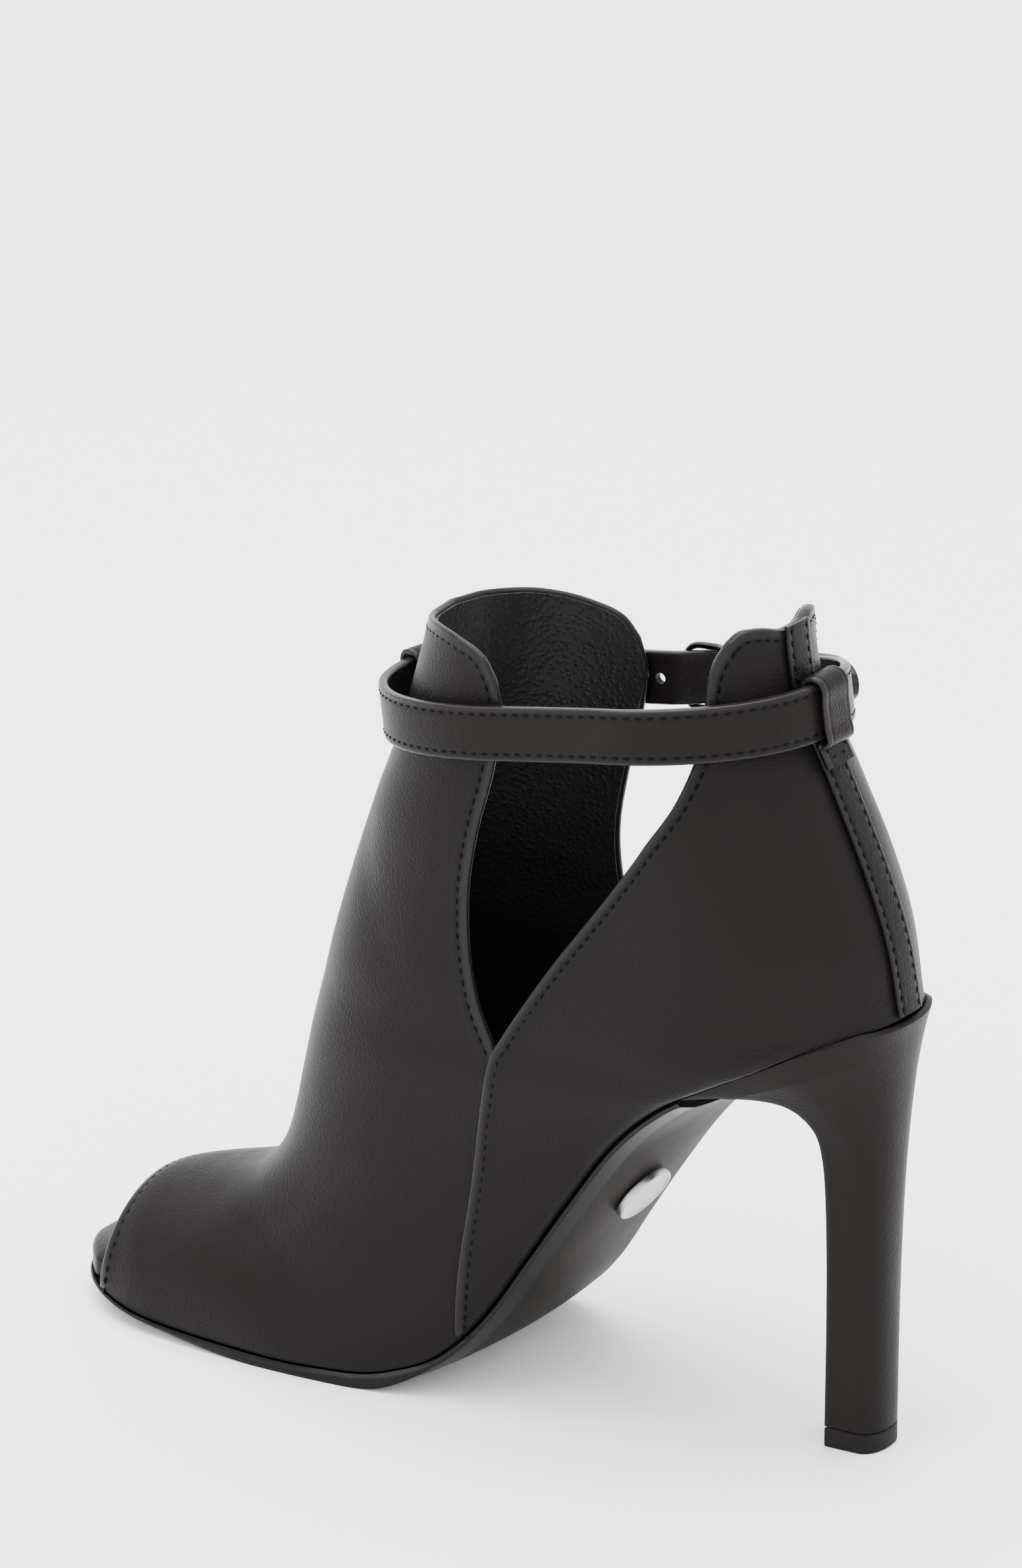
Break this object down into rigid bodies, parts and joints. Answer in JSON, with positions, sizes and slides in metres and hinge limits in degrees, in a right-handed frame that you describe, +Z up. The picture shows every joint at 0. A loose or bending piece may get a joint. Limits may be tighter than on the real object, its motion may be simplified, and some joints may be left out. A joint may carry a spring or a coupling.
{
  "type": "peep toe ankle boot",
  "caption": "High-heeled leather ankle boot with an open toe, open side cut-outs and a buckled ankle strap, on a slim covered heel.",
  "frame": {"origin": "middle of the box round the boot, on the floor", "axes": "+Z up, +Y towards the toe, +X towards the outer side of the foot"},
  "size_m": [0.0794, 0.2116, 0.1891],
  "materials": {
    "black_leather": "smooth, fine grain, semi-gloss",
    "insole_leather": "smooth black",
    "sole": "glossy edge, satin underside",
    "covered_heel": "smooth, semi-gloss",
    "top_lift": "matt",
    "disc_steel": "polished",
    "buckle_steel": "dark polished"
  },
  "bodies": {
    "root": {"upper": "black_leather", "back_strip": "black_leather", "ankle_strap": "black_leather", "back_keeper": "black_leather", "front_keeper": "black_leather", "tail_keeper": "black_leather", "insole": "insole_leather", "outsole": "sole", "heel": "covered_heel", "top_lift": "top_lift", "badge": "disc_steel", "buckle_frame": "buckle_steel", "buckle_prong": "buckle_steel"}
  },
  "joints": []
}
